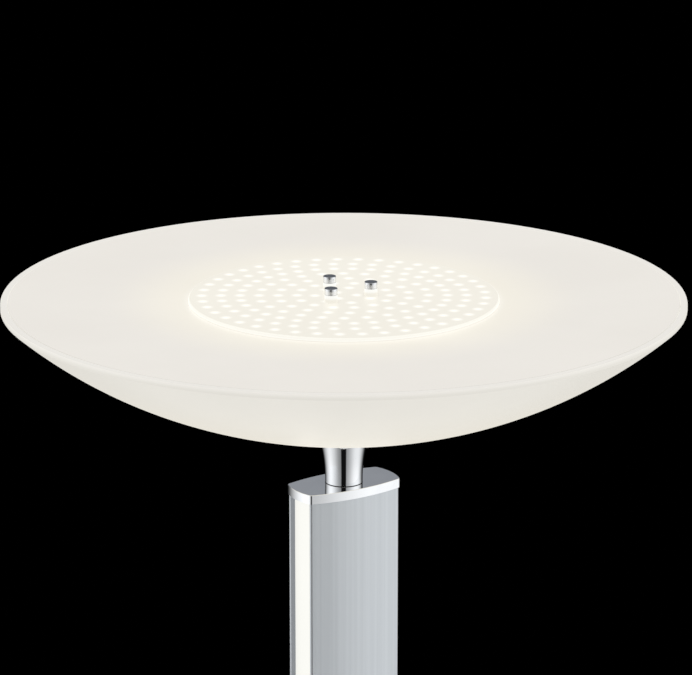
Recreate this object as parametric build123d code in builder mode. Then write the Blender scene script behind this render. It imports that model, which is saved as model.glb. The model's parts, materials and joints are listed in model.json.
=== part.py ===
from build123d import *
import os
from math import cos, pi, sqrt

# Torchiere floor lamp. All lengths are in millimetres and all angles in degrees.
# The origin is on the floor under the lamp's axis, +Z is up, and the long side of the column lies along X.

os.makedirs("parts", exist_ok=True)

# Whole lamp
rim_height = 1790.0
screw_gap = 0.1
slip_gap = 0.2

# Dish
bowl_diameter = 450.0
bowl_depth = 86.0
bowl_edge = 3.7
bowl_wall = 5.0
bowl_seat_diameter = 20.0
bowl_lip = 4.6
lip_rise = 0.2
lip_round = 0.8
seal_thickness = 0.8
diffuser_thickness = 4.0
diffuser_gap = 0.5
diffuser_land = 5.0

# Rings of LEDs from the outside in: radius, number, and angle of the first one from the head's own zero
led_ring_radii = [93.3, 80.7, 68.2, 55.7, 43.2, 30.7, 18.9, 8.3]
led_ring_counts = [41, 38, 34, 24, 19, 14, 7, 3]
led_ring_angles = [5.0, 0.4, 0.3, 0.4, 10.0, 0.0, 28.0, 3.7]
head_turn = -32.0

# Light engine in the dish
chip_diameter = 1.6
chip_height = 0.8
board_margin = 2.2
board_thickness = 1.6
board_gap = 1.0
cover_overlap = 6.8
cover_thickness = 2.4
cover_edge_height = 0.4
cover_gap = 0.6
spreader_land = 9.5
spreader_thickness = 2.5
lead_hole_diameter = 9.0

# Studs and nuts that hold the light engine
stud_diameter = 3.0
stud_count = 3
stud_circle_diameter = 35.6
stud_turn = 2.0
spacer_wall = 0.4
sleeve_wall = 1.9
nut_diameter = 8.5
nut_height = 4.3
nut_thread = 3.0
nut_round = 0.25
nut_washer_height = 4.9

# Hub at the floor of the dish, and the threaded tube through it
gasket_thickness = 1.0
hub_diameter = 48.0
hub_thickness = 4.0
nipple_diameter = 10.0
nipple_bore = 7.0
nipple_end = 2.0
hexagon_corner_count = 6
pipe_nut_width = 17.0
pipe_nut_height = 5.0
pipe_washer_diameter = 20.0
pipe_washer_thickness = 1.0

# Stem
stem_diameter = 25.2
stem_length = 41.5
stem_straight = 3.1
stem_foot_edge = 0.4
stem_flare_radius = 100.0
stem_top_edge = 1.0

# Column
column_length_x = 68.6
column_end_width = 28.4
column_bulge = 5.0
column_wall = 2.0
column_corner_round = 1.0
channel_depth = 11.5
channel_recess = 4.0
web_thickness = 2.0
port_diameter = 9.0
port_spacing_y = 21.0
port_bite = 0.5
bolt_diameter = 5.0

# Cap and foot collar
cap_overhang = 0.6
cap_end_bulge = 3.0
cap_thickness = 6.2
cap_skin = 3.2
cap_corner_radius = 2.2
cap_edge_radius = 0.4
collar_thickness = 6.2
bridge_margin = 1.0
screw_head_diameter = 8.8
screw_length = 20.0

# Light strips in the column's ends
strip_width = 12.0
strip_thickness = 1.0
strip_end_gap = 4.0
phosphor_width = 3.0
phosphor_height = 1.0
strip_cover_thickness = 2.0
strip_leg_thickness = 1.2

# Base
base_diameter = 300.0
base_sheet = 2.0
base_round = 6.0
base_lift = 1.0
pad_margin = 10.0
pad_width = 70.0
pad_thickness = 3.0
weight_thickness = 16.0
weight_gap = 0.5
cable_hole_diameter = 16.0
groove_width = 12.0
groove_depth = 13.0
gland_bore = 6.8
gland_body_diameter = 8.4
gland_flange_diameter = 11.0
gland_flange_thickness = 2.0
gland_length = 9.0
bolt_head_diameter = 8.5
bolt_head_height = 5.0
bolt_socket_width = 4.0
bolt_socket_depth = 2.5
bolt_engagement = 25.0
bolt_washer_diameter = 10.0
bolt_washer_thickness = 1.0
counterbore_depth = 7.0

# Power supply and inner wires
driver_length = 200.0
driver_depth = 28.0
driver_round = 2.0
head_lead_diameter = 5.0
strip_lead_diameter = 3.0
strip_lead_drop = 75.0
control_lead_diameter = 3.0
control_lead_offset = 6.0

# Push buttons in the front of the column
strip_button_height = 1045.0
button_spacing = 35.0
button_diameter = 12.2
button_gap = 0.3
button_proud = 1.2
button_crown = 0.5
button_travel = 1.5
button_flange_width = 0.7
button_flange_thickness = 2.5
button_stop_gap = 0.05
plunger_diameter = 4.8
plunger_depth = 1.0
plunger_stop_gap = 0.5
spring_wall = 1.2
spring_length = 6.5
bezel_diameter = 20.0
bezel_thickness = 2.0
bezel_lip = 1.5
bezel_wall = 0.9
bezel_seat_depth = 0.6
bezel_barrel = 10.6
switch_width = 16.0
switch_depth = 2.0
ring_nut_width = 20.0
ring_nut_thickness = 2.5
circuit_thickness = 1.6
circuit_width = 20.0
circuit_margin = 15.0

# Heights that follow, from the rim down to the column's top
cover_bottom = rim_height - cover_thickness
diffuser_inner_top = cover_bottom - cover_gap
spreader_top = diffuser_inner_top - diffuser_thickness
spreader_bottom = spreader_top - spreader_thickness
board_top = spreader_top + board_thickness
diffuser_top = rim_height - lip_rise
diffuser_bottom = diffuser_top - diffuser_thickness
bowl_ledge = diffuser_bottom - seal_thickness
bowl_bottom = rim_height - bowl_depth
bowl_floor = bowl_bottom + bowl_wall
hub_bottom = bowl_floor + gasket_thickness
hub_top = hub_bottom + hub_thickness
stem_top = bowl_bottom - gasket_thickness
cap_top = stem_top - stem_length
column_top = cap_top - cap_thickness
lower_washer_bottom = column_top - pipe_washer_thickness
lower_nut_bottom = lower_washer_bottom - pipe_nut_height
nut_washer_top = rim_height + nut_washer_height

# Heights that follow, from the floor up to the column's foot
weight_top = pad_thickness + weight_thickness
base_top = weight_top + base_sheet
column_bottom = base_top + collar_thickness
column_height = column_top - column_bottom
driver_top = column_bottom + driver_length
strip_lead_height = driver_top - strip_lead_drop
dish_button_height = strip_button_height + button_spacing
gland_height = pad_thickness + groove_depth / 2

# Plan sizes of the column that follow
column_half = column_length_x / 2
column_end = column_end_width / 2
column_middle = column_end + column_bulge
side_radius = (column_half**2 + column_bulge**2) / (2 * column_bulge)
web_outer = column_half - channel_depth
web_inner = web_outer - web_thickness
port_x = web_inner - port_diameter / 2 + port_bite
port_y = port_spacing_y / 2
driver_width = 2 * (port_x - port_diameter / 2 - 2 * slip_gap)
bridge_length = 2 * (port_x + screw_head_diameter / 2 + bridge_margin)
bridge_width = 2 * (port_y + screw_head_diameter / 2 + bridge_margin)
strip_face = column_half - channel_recess

# Radii that follow
bowl_radius = bowl_diameter / 2
bowl_seat = bowl_seat_diameter / 2
bowl_rise = bowl_depth - bowl_edge
bowl_arc = ((bowl_radius - bowl_seat) ** 2 + bowl_rise**2) / (2 * bowl_rise)
ledge_drop = bowl_arc - (bowl_ledge - bowl_bottom)
ledge_inner = bowl_seat + sqrt((bowl_arc - bowl_wall) ** 2 - ledge_drop**2)
lip_inner = bowl_radius - bowl_lip
diffuser_radius = lip_inner - diffuser_gap
board_radius = led_ring_radii[0] + board_margin
diffuser_inner = board_radius + board_gap
spreader_radius = diffuser_inner + spreader_land
base_radius = base_diameter / 2
weight_radius = base_radius - base_sheet - weight_gap
pad_radius = base_radius - pad_margin
cable_hole = cable_hole_diameter / 2
stud_hole = stud_diameter / 2 + screw_gap
bolt_hole = bolt_diameter / 2 + screw_gap
nipple_hole = nipple_diameter / 2 + screw_gap

# Places of the buttons along Y, counted from the column's front face inwards
bezel_seat_y = column_middle - bezel_seat_depth
bezel_face_y = bezel_seat_y + bezel_thickness
lip_inner_y = bezel_face_y - bezel_lip
barrel_end_y = bezel_seat_y - bezel_barrel
flange_front_y = lip_inner_y - button_stop_gap
flange_back_y = flange_front_y - button_flange_thickness
spring_end_y = flange_back_y - spring_length
button_radius = button_diameter / 2
barrel_inner = button_radius + button_flange_width + button_gap
barrel_outer = barrel_inner + bezel_wall
circuit_front_y = barrel_end_y - switch_depth


def save(piece, name):
    piece.part.label = name
    export_step(piece.part, f"parts/{name}.step")


def side_y(x, inset):
    """Half width of the column at x, measured to a surface that lies inset inside its curved side."""
    radius = side_radius - inset
    return column_middle - side_radius + sqrt(radius**2 - x**2)


def cap_plan():
    """Plan of the cap and the collar: four outward arcs between four corners."""
    x = column_half + cap_overhang
    y = column_end + cap_overhang
    with BuildSketch() as plan:
        with BuildLine():
            ThreePointArc((-x, -y), (0, -y - column_bulge), (x, -y))
            ThreePointArc((x, -y), (x + cap_end_bulge, 0), (x, y))
            ThreePointArc((x, y), (0, y + column_bulge), (-x, y))
            ThreePointArc((-x, y), (-x - cap_end_bulge, 0), (-x, -y))
        make_face()
    return plan.sketch


def between_sides(x_low, x_high, inset):
    """Area between the two curved sides of the column, from x_low to x_high."""
    x_mid = (x_low + x_high) / 2
    low = side_y(x_low, inset)
    mid = side_y(x_mid, inset)
    high = side_y(x_high, inset)
    with BuildSketch() as area:
        with BuildLine():
            Line((x_low, -low), (x_low, low))
            ThreePointArc((x_low, low), (x_mid, mid), (x_high, high))
            Line((x_high, high), (x_high, -high))
            ThreePointArc((x_high, -high), (x_mid, -mid), (x_low, -low))
        make_face()
    return area.sketch


def port_places():
    return GridLocations(2 * port_x, 2 * port_y, 2, 2)


def stud_places():
    return PolarLocations(stud_circle_diameter / 2, stud_count, start_angle=head_turn + stud_turn)


def ring(outer_radius, inner_radius, bottom, height):
    """A plain ring about the lamp's axis."""
    with BuildPart() as piece:
        with BuildSketch(Plane.XY.offset(bottom)):
            Circle(outer_radius)
            Circle(inner_radius, mode=Mode.SUBTRACT)
        extrude(amount=height)
    return piece


def stud_rings(outer_radius, inner_radius, bottom, height):
    """One ring around each stud."""
    with BuildPart() as piece:
        with BuildSketch(Plane.XY.offset(bottom)):
            with stud_places():
                Circle(outer_radius)
            with stud_places():
                Circle(inner_radius, mode=Mode.SUBTRACT)
        extrude(amount=height)
    return piece


def pipe_nut(bottom):
    """Hexagon nut on the threaded tube."""
    with BuildPart() as piece:
        with BuildSketch(Plane.XY.offset(bottom)):
            RegularPolygon(pipe_nut_width / 2, hexagon_corner_count, major_radius=False)
            Circle(nipple_hole, mode=Mode.SUBTRACT)
        extrude(amount=pipe_nut_height)
    return piece


def wire(x, y, bottom, top, diameter):
    """A straight upright wire."""
    with BuildPart() as piece:
        with BuildSketch(Plane.XY.offset(bottom)):
            with Locations((x, y)):
                Circle(diameter / 2)
        extrude(amount=top - bottom)
    return piece


# Rubber ring that the lamp stands on
save(ring(pad_radius, pad_radius - pad_width, 0, pad_thickness), "base_pad")

# Steel weight, with a groove for the cord from the rear edge to the middle
with BuildPart() as base_weight:
    with BuildSketch(Plane.XY.offset(pad_thickness)):
        Circle(weight_radius)
    extrude(amount=weight_thickness)
    fillet(base_weight.edges().group_by(Axis.Z)[-1], radius=base_round - base_sheet + weight_gap)
    with BuildSketch(Plane.XY.offset(pad_thickness)):
        with Locations((0, weight_radius / 2)):
            Rectangle(groove_width, weight_radius)
    extrude(amount=groove_depth, mode=Mode.SUBTRACT)
    with BuildSketch(Plane.XY.offset(pad_thickness)):
        Circle(cable_hole)
        with port_places():
            Circle(bolt_hole)
    extrude(amount=weight_thickness, mode=Mode.SUBTRACT)
    with BuildSketch(Plane.XY.offset(pad_thickness)):
        with port_places():
            Circle(bolt_washer_diameter / 2 + slip_gap)
    extrude(amount=counterbore_depth, mode=Mode.SUBTRACT)
save(base_weight, "base_weight")

# Spun cover over the weight
cover_flat = base_radius - base_round
cover_shoulder = base_top - base_round
cover_inside = base_radius - base_sheet
with BuildPart() as base_cover:
    with BuildSketch(Plane.XZ):
        with BuildLine():
            Polyline((cable_hole, weight_top), (cable_hole, base_top), (cover_flat, base_top))
            RadiusArc((cover_flat, base_top), (base_radius, cover_shoulder), base_round)
            Polyline(
                (base_radius, cover_shoulder),
                (base_radius, base_lift),
                (cover_inside, base_lift),
                (cover_inside, cover_shoulder),
            )
            RadiusArc((cover_inside, cover_shoulder), (cover_flat, weight_top), base_sheet - base_round)
            Line((cover_flat, weight_top), (cable_hole, weight_top))
        make_face()
    revolve(axis=Axis.Z)
    with BuildSketch(Plane.XY.offset(weight_top)):
        with port_places():
            Circle(bolt_hole)
    extrude(amount=base_sheet, mode=Mode.SUBTRACT)
    with BuildSketch(Plane((0, weight_radius, gland_height), x_dir=(1, 0, 0), z_dir=(0, 1, 0))):
        Circle(gland_body_diameter / 2 + screw_gap)
    extrude(amount=base_sheet + 2 * weight_gap, mode=Mode.SUBTRACT)
save(base_cover, "base_cover")

# Cord inlet in the rear edge of the cover
with BuildPart() as cable_gland:
    with BuildSketch(Plane.XY.offset(gland_height)):
        with BuildLine():
            Polyline(
                (gland_bore / 2, base_radius - gland_length),
                (gland_body_diameter / 2, base_radius - gland_length),
                (gland_body_diameter / 2, base_radius),
                (gland_flange_diameter / 2, base_radius),
                (gland_flange_diameter / 2, base_radius + gland_flange_thickness),
                (gland_bore / 2, base_radius + gland_flange_thickness),
                close=True,
            )
        make_face()
    revolve(axis=Axis((0, 0, gland_height), (0, 1, 0)))
save(cable_gland, "cable_gland")

# Polished collar between base and column
with BuildPart() as foot_collar:
    with BuildSketch(Plane.XY.offset(base_top)):
        add(cap_plan())
    extrude(amount=collar_thickness)
    fillet(foot_collar.edges().filter_by(Axis.Z), radius=cap_corner_radius)
    fillet(foot_collar.edges().group_by(Axis.Z)[-1], radius=cap_edge_radius)
    with BuildSketch(Plane.XY.offset(base_top)):
        Circle(cable_hole)
        with port_places():
            Circle(bolt_hole)
    extrude(amount=collar_thickness, mode=Mode.SUBTRACT)
save(foot_collar, "foot_collar")

# Four bolts and washers from below, through base and collar into the screw ports of the column
washer_top = pad_thickness + counterbore_depth
head_top = washer_top - bolt_washer_thickness
head_bottom = head_top - bolt_head_height
with BuildPart() as column_bolts:
    with BuildSketch(Plane.XY.offset(head_bottom)):
        with port_places():
            Circle(bolt_head_diameter / 2)
    extrude(amount=bolt_head_height)
    with BuildSketch(Plane.XY.offset(head_top)):
        with port_places():
            Circle(bolt_diameter / 2)
    extrude(amount=column_bottom + bolt_engagement - head_top)
    with BuildSketch(Plane.XY.offset(head_bottom)):
        with port_places():
            RegularPolygon(bolt_socket_width / 2, hexagon_corner_count, major_radius=False)
    extrude(amount=bolt_socket_depth, mode=Mode.SUBTRACT)
save(column_bolts, "column_bolts")

with BuildPart() as bolt_washers:
    with BuildSketch(Plane.XY.offset(head_top)):
        with port_places():
            Circle(bolt_washer_diameter / 2)
        with port_places():
            Circle(bolt_hole, mode=Mode.SUBTRACT)
    extrude(amount=bolt_washer_thickness)
save(bolt_washers, "bolt_washers")

# Extruded column: two curved sides, two webs, four screw ports, and a light channel in each end
with BuildPart() as column_profile:
    with BuildSketch(Plane.XY.offset(column_bottom)) as column_plan:
        add(between_sides(-column_half, column_half, 0))
        fillet(column_plan.vertices(), radius=column_corner_round)
        add(between_sides(-column_half, column_half, column_wall), mode=Mode.SUBTRACT)
        web_middle = (web_outer + web_inner) / 2
        web_reach = side_y(web_outer, column_wall / 2)
        with Locations((web_middle, 0), (-web_middle, 0)):
            Rectangle(web_thickness, 2 * web_reach)
        with port_places():
            Circle(port_diameter / 2)
        with port_places():
            Circle(bolt_hole, mode=Mode.SUBTRACT)
    extrude(amount=column_height)
    with BuildSketch(Plane.YZ.offset(-web_outer)):
        with Locations((0, strip_lead_height)):
            Circle(strip_lead_diameter / 2 + slip_gap)
    extrude(amount=2 * web_outer, mode=Mode.SUBTRACT)
    with BuildSketch(Plane.XZ.offset(bezel_seat_y)):
        with Locations((0, dish_button_height), (0, strip_button_height)):
            Circle(bezel_diameter / 2 + slip_gap)
    extrude(amount=bezel_thickness, mode=Mode.SUBTRACT)
    with BuildSketch(Plane.XZ.offset(barrel_end_y)):
        with Locations((0, dish_button_height), (0, strip_button_height)):
            Circle(barrel_outer + screw_gap)
    extrude(amount=bezel_barrel + bezel_seat_depth, mode=Mode.SUBTRACT)
save(column_profile, "column_profile")

# Light strips: circuit strip on the web, phosphor line on it, and an opal cover behind the column's lips
strip_bottom = column_bottom + strip_end_gap
strip_length = column_height - 2 * strip_end_gap
cover_back = strip_face - strip_cover_thickness
cover_inset = column_wall + slip_gap
leg_inset = cover_inset + strip_leg_thickness
for end, end_name in ((-1, "left"), (1, "right")):
    with BuildPart() as strip_board:
        with BuildSketch(Plane.XY.offset(strip_bottom)):
            with Locations((end * (web_outer + strip_thickness / 2), 0)):
                Rectangle(strip_thickness, strip_width)
        extrude(amount=strip_length)
    save(strip_board, f"strip_board_{end_name}")

    with BuildPart() as strip_led:
        with BuildSketch(Plane.XY.offset(strip_bottom)):
            with Locations((end * (web_outer + strip_thickness + phosphor_height / 2), 0)):
                Rectangle(phosphor_height, phosphor_width)
        extrude(amount=strip_length)
    save(strip_led, f"strip_led_{end_name}")

    with BuildPart() as strip_cover:
        with BuildSketch(Plane.XY.offset(column_bottom)):
            add(between_sides(end * web_outer, end * strip_face, cover_inset))
            add(between_sides(end * web_outer, end * cover_back, leg_inset), mode=Mode.SUBTRACT)
        extrude(amount=column_height)
    save(strip_cover, f"strip_cover_{end_name}")

# Power supply, standing on the collar between the screw ports
with BuildPart() as led_driver:
    with BuildSketch(Plane.XY.offset(column_bottom)):
        RectangleRounded(driver_width, driver_depth, driver_round)
    extrude(amount=driver_length)
save(led_driver, "led_driver")

# Wires from the power supply to the two strips, through the webs
with BuildPart() as strip_leads:
    for end in (-1, 1):
        start = (end * driver_width / 2, 0, strip_lead_height)
        with BuildSketch(Plane(start, x_dir=(0, 1, 0), z_dir=(end, 0, 0))):
            Circle(strip_lead_diameter / 2)
        extrude(amount=web_outer - driver_width / 2)
save(strip_leads, "strip_leads")

# Wire from the power supply to the LED board, through the threaded tube
save(wire(0, 0, driver_top, spreader_top, head_lead_diameter), "head_lead")

# Plate that closes the top of the column, with countersunk screws
head_slope = (screw_head_diameter - bolt_diameter) / 2
screw_hole_top = screw_head_diameter / 2 + screw_gap
with BuildPart() as bridge_plate:
    with BuildSketch(Plane.XY.offset(column_top)):
        Rectangle(bridge_length, bridge_width)
        Circle(nipple_hole, mode=Mode.SUBTRACT)
        with port_places():
            Circle(bolt_hole, mode=Mode.SUBTRACT)
    extrude(amount=cap_thickness - cap_skin)
    with Locations((0, 0, cap_top - cap_skin - head_slope / 2)):
        with port_places():
            Cone(bolt_hole, screw_hole_top, head_slope, mode=Mode.SUBTRACT)
save(bridge_plate, "bridge_plate")

with BuildPart() as bridge_screws:
    with Locations((0, 0, cap_top - cap_skin - head_slope / 2)):
        with port_places():
            Cone(bolt_diameter / 2, screw_head_diameter / 2, head_slope)
    with BuildSketch(Plane.XY.offset(cap_top - cap_skin - head_slope)):
        with port_places():
            Circle(bolt_diameter / 2)
    extrude(amount=-screw_length)
save(bridge_screws, "bridge_screws")

# Polished cap, hollow underneath to take the plate
with BuildPart() as column_cap:
    with BuildSketch(Plane.XY.offset(column_top)):
        add(cap_plan())
    extrude(amount=cap_thickness)
    fillet(column_cap.edges().filter_by(Axis.Z), radius=cap_corner_radius)
    fillet(column_cap.edges().group_by(Axis.Z)[-1], radius=cap_edge_radius)
    with BuildSketch(Plane.XY.offset(column_top)):
        Rectangle(bridge_length + 2 * slip_gap, bridge_width + 2 * slip_gap)
    extrude(amount=cap_thickness - cap_skin, mode=Mode.SUBTRACT)
    with BuildSketch(Plane.XY.offset(column_top)):
        Circle(nipple_hole)
    extrude(amount=cap_thickness, mode=Mode.SUBTRACT)
save(column_cap, "column_cap")

# Threaded tube that clamps plate, cap, stem and dish together, with its washer and nuts
nipple_bottom = lower_nut_bottom - nipple_end
nipple_top = hub_top + pipe_nut_height + nipple_end
save(ring(nipple_diameter / 2, nipple_bore / 2, nipple_bottom, nipple_top - nipple_bottom), "nipple")
save(ring(pipe_washer_diameter / 2, nipple_hole, lower_washer_bottom, pipe_washer_thickness), "lower_washer")
save(pipe_nut(lower_nut_bottom), "lower_nut")
save(pipe_nut(hub_top), "hub_nut")

# Stem, with a broken edge at its foot, straight above the cap and flared to the dish
stem_radius = stem_diameter / 2
flare_start = cap_top + stem_straight
flare_end = stem_top - stem_top_edge
flare_rise = flare_end - flare_start
flare_radius = stem_radius + stem_flare_radius - sqrt(stem_flare_radius**2 - flare_rise**2)
with BuildPart() as stem:
    with BuildSketch(Plane.XZ):
        with BuildLine():
            Polyline(
                (nipple_hole, cap_top),
                (stem_radius - stem_foot_edge, cap_top),
                (stem_radius, cap_top + stem_foot_edge),
                (stem_radius, flare_start),
            )
            TangentArc((stem_radius, flare_start), (flare_radius, flare_end), tangent=(0, 1))
            Polyline((flare_radius, flare_end), (flare_radius, stem_top), (nipple_hole, stem_top))
            Line((nipple_hole, stem_top), (nipple_hole, cap_top))
        make_face()
    revolve(axis=Axis.Z)
save(stem, "stem")

# Seals under and over the floor of the dish
save(ring(bowl_seat, nipple_hole, stem_top, gasket_thickness), "lower_gasket")
save(ring(bowl_seat, nipple_hole, bowl_floor, gasket_thickness), "upper_gasket")

# Dish: flat seat, round side, upright edge, and a ledge inside the lip for the ring that closes it
with BuildPart() as glass_bowl:
    with BuildSketch(Plane.XZ):
        with BuildLine():
            Polyline((nipple_hole, bowl_floor), (nipple_hole, bowl_bottom), (bowl_seat, bowl_bottom))
            TangentArc((bowl_seat, bowl_bottom), (bowl_radius, rim_height - bowl_edge), tangent=(1, 0))
            Polyline(
                (bowl_radius, rim_height - bowl_edge),
                (bowl_radius, rim_height),
                (lip_inner, rim_height),
                (lip_inner, bowl_ledge),
                (ledge_inner, bowl_ledge),
            )
            TangentArc((bowl_seat, bowl_floor), (ledge_inner, bowl_ledge), tangent=(1, 0))
            Line((bowl_seat, bowl_floor), (nipple_hole, bowl_floor))
        make_face()
    revolve(axis=Axis.Z)
    fillet(glass_bowl.edges().group_by(Axis.Z)[-1], radius=lip_round)
save(glass_bowl, "glass_bowl")

# Flange that is clamped to the floor of the dish and carries the studs
with BuildPart() as hub_flange:
    with BuildSketch(Plane.XY.offset(hub_bottom)):
        Circle(hub_diameter / 2)
        Circle(nipple_hole, mode=Mode.SUBTRACT)
        with stud_places():
            Circle(stud_hole, mode=Mode.SUBTRACT)
    extrude(amount=hub_thickness)
save(hub_flange, "hub_flange")

# Studs, and the distance sleeves on them between flange and heat spreader
with BuildPart() as studs:
    with BuildSketch(Plane.XY.offset(hub_bottom)):
        with stud_places():
            Circle(stud_diameter / 2)
    extrude(amount=nut_washer_top + nut_thread - hub_bottom)
save(studs, "studs")
save(stud_rings(stud_hole + sleeve_wall, stud_hole, hub_top, spreader_bottom - hub_top), "sleeves")

# Heat spreader, which also carries the inner edge of the opal ring
with BuildPart() as heat_spreader:
    with BuildSketch(Plane.XY.offset(spreader_bottom)):
        Circle(spreader_radius)
        Circle(lead_hole_diameter / 2, mode=Mode.SUBTRACT)
        with stud_places():
            Circle(stud_hole, mode=Mode.SUBTRACT)
    extrude(amount=spreader_thickness)
save(heat_spreader, "heat_spreader")

# LED circuit board and its LEDs
with BuildPart() as led_board:
    with BuildSketch(Plane.XY.offset(spreader_top)):
        Circle(board_radius)
        with stud_places():
            Circle(stud_hole, mode=Mode.SUBTRACT)
    extrude(amount=board_thickness)
save(led_board, "led_board")

with BuildPart() as led_chips:
    with BuildSketch(Plane.XY.offset(board_top)):
        for radius, count, angle in zip(led_ring_radii, led_ring_counts, led_ring_angles):
            with PolarLocations(radius, count, start_angle=head_turn + angle):
                Circle(chip_diameter / 2)
    extrude(amount=chip_height)
save(led_chips, "led_chips")

# Opal LED cover on its spacers, and the washers and nuts on top
save(stud_rings(stud_hole + spacer_wall, stud_hole, board_top, cover_bottom - board_top), "disc_spacers")
with BuildPart() as cover_disc:
    with BuildSketch(Plane.XY.offset(cover_bottom)):
        Circle(board_radius + cover_overlap)
    extrude(amount=cover_thickness)
    fillet(cover_disc.edges().group_by(Axis.Z)[-1], radius=cover_thickness - cover_edge_height)
    with BuildSketch(Plane.XY.offset(cover_bottom)):
        with stud_places():
            Circle(stud_hole)
    extrude(amount=cover_thickness, mode=Mode.SUBTRACT)
save(cover_disc, "cover_disc")
save(stud_rings(nut_diameter / 2, stud_hole, rim_height, nut_washer_height), "nut_washers")

with BuildPart() as top_nuts:
    with BuildSketch(Plane.XY.offset(nut_washer_top)):
        with stud_places():
            Circle(nut_diameter / 2)
    extrude(amount=nut_height)
    fillet(top_nuts.edges().group_by(Axis.Z)[-1], radius=nut_round)
    with BuildSketch(Plane.XY.offset(nut_washer_top)):
        with stud_places():
            Circle(stud_hole)
    extrude(amount=nut_thread + slip_gap, mode=Mode.SUBTRACT)
save(top_nuts, "top_nuts")

# Seal on the ledge, and the opal ring that falls a little from the lip towards the LED cover
save(ring(diffuser_radius, ledge_inner, bowl_ledge, seal_thickness), "rim_seal")

outer_land = diffuser_radius - diffuser_land
with BuildPart() as top_diffuser:
    with BuildSketch(Plane.XZ):
        with BuildLine():
            Polyline(
                (diffuser_inner, spreader_top),
                (spreader_radius, spreader_top),
                (outer_land, diffuser_bottom),
                (diffuser_radius, diffuser_bottom),
                (diffuser_radius, diffuser_top),
                (outer_land, diffuser_top),
                (spreader_radius, diffuser_inner_top),
                (diffuser_inner, diffuser_inner_top),
                close=True,
            )
        make_face()
    revolve(axis=Axis.Z)
save(top_diffuser, "top_diffuser")


def turned_button_part(outline, height):
    """Turns an outline about a line along Y. Its points are a radius and a distance from the lamp's axis."""
    with BuildPart() as piece:
        with BuildSketch(Plane.XY.offset(height)):
            with BuildLine():
                Polyline(*[(radius, -distance) for radius, distance in outline], close=True)
            make_face()
        revolve(axis=Axis((0, 0, height), (0, 1, 0)))
    return piece


# Push buttons with bezel, return spring and switch
button_face_y = bezel_face_y + button_proud
crown_edge_y = button_face_y - button_crown
plunger_end_y = spring_end_y - plunger_depth
plunger_radius = plunger_diameter / 2
flange_radius = button_radius + button_flange_width
bezel_outline = [
    (button_radius + button_gap, bezel_face_y),
    (bezel_diameter / 2, bezel_face_y),
    (bezel_diameter / 2, bezel_seat_y),
    (barrel_outer, bezel_seat_y),
    (barrel_outer, barrel_end_y),
    (barrel_inner, barrel_end_y),
    (barrel_inner, lip_inner_y),
    (button_radius + button_gap, lip_inner_y),
]
button_outline = [
    (0, button_face_y),
    (button_radius - button_crown, button_face_y),
    (button_radius, crown_edge_y),
    (button_radius, flange_front_y),
    (flange_radius, flange_front_y),
    (flange_radius, flange_back_y),
    (plunger_radius, flange_back_y),
    (plunger_radius, plunger_end_y),
    (0, plunger_end_y),
]
spring_outline = [
    (plunger_radius + slip_gap, flange_back_y),
    (plunger_radius + slip_gap + spring_wall, flange_back_y),
    (plunger_radius + slip_gap + spring_wall, spring_end_y),
    (plunger_radius + slip_gap, spring_end_y),
]
for button_name, height in (("dish", dish_button_height), ("strip", strip_button_height)):
    save(turned_button_part(bezel_outline, height), f"{button_name}_bezel")
    save(turned_button_part(button_outline, height), f"{button_name}_button")
    save(turned_button_part(spring_outline, height), f"{button_name}_spring")

    with BuildPart() as switch:
        with BuildSketch(Plane.XZ.offset(circuit_front_y)):
            with Locations((0, height)):
                Rectangle(switch_width, switch_width)
        extrude(amount=switch_depth)
        with BuildSketch(Plane.XZ.offset(barrel_end_y)):
            with Locations((0, height)):
                Circle(barrel_inner - screw_gap)
        extrude(amount=spring_end_y - barrel_end_y)
        with BuildSketch(Plane.XZ.offset(spring_end_y)):
            with Locations((0, height)):
                Circle(plunger_radius + slip_gap)
        extrude(amount=-(plunger_depth + button_travel + plunger_stop_gap), mode=Mode.SUBTRACT)
    save(switch, f"{button_name}_switch")

# Ring nuts that hold the bezels from inside the column
nut_corner = ring_nut_width / 2 / cos(pi / hexagon_corner_count)
ring_nut_front_y = side_y(nut_corner, column_wall) - screw_gap
with BuildPart() as switch_nuts:
    with BuildSketch(Plane.XZ.offset(ring_nut_front_y)):
        with Locations((0, dish_button_height), (0, strip_button_height)):
            RegularPolygon(ring_nut_width / 2, hexagon_corner_count, major_radius=False)
        with Locations((0, dish_button_height), (0, strip_button_height)):
            Circle(barrel_outer + screw_gap, mode=Mode.SUBTRACT)
    extrude(amount=-ring_nut_thickness)
save(switch_nuts, "switch_nuts")

# Dimmer circuit behind the switches, and its wire to the power supply
circuit_middle = strip_button_height + button_spacing / 2
circuit_height = button_spacing + 2 * circuit_margin
circuit_back_y = circuit_front_y - circuit_thickness
with BuildPart() as control_board:
    with BuildSketch(Plane.XZ.offset(circuit_back_y)):
        with Locations((0, circuit_middle)):
            Rectangle(circuit_width, circuit_height)
    extrude(amount=circuit_thickness)
save(control_board, "control_board")
wire_y = -(circuit_front_y + circuit_back_y) / 2
circuit_bottom = circuit_middle - circuit_height / 2
save(wire(control_lead_offset, wire_y, driver_top, circuit_bottom, control_lead_diameter), "control_lead")
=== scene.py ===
# %% [markdown]
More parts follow.
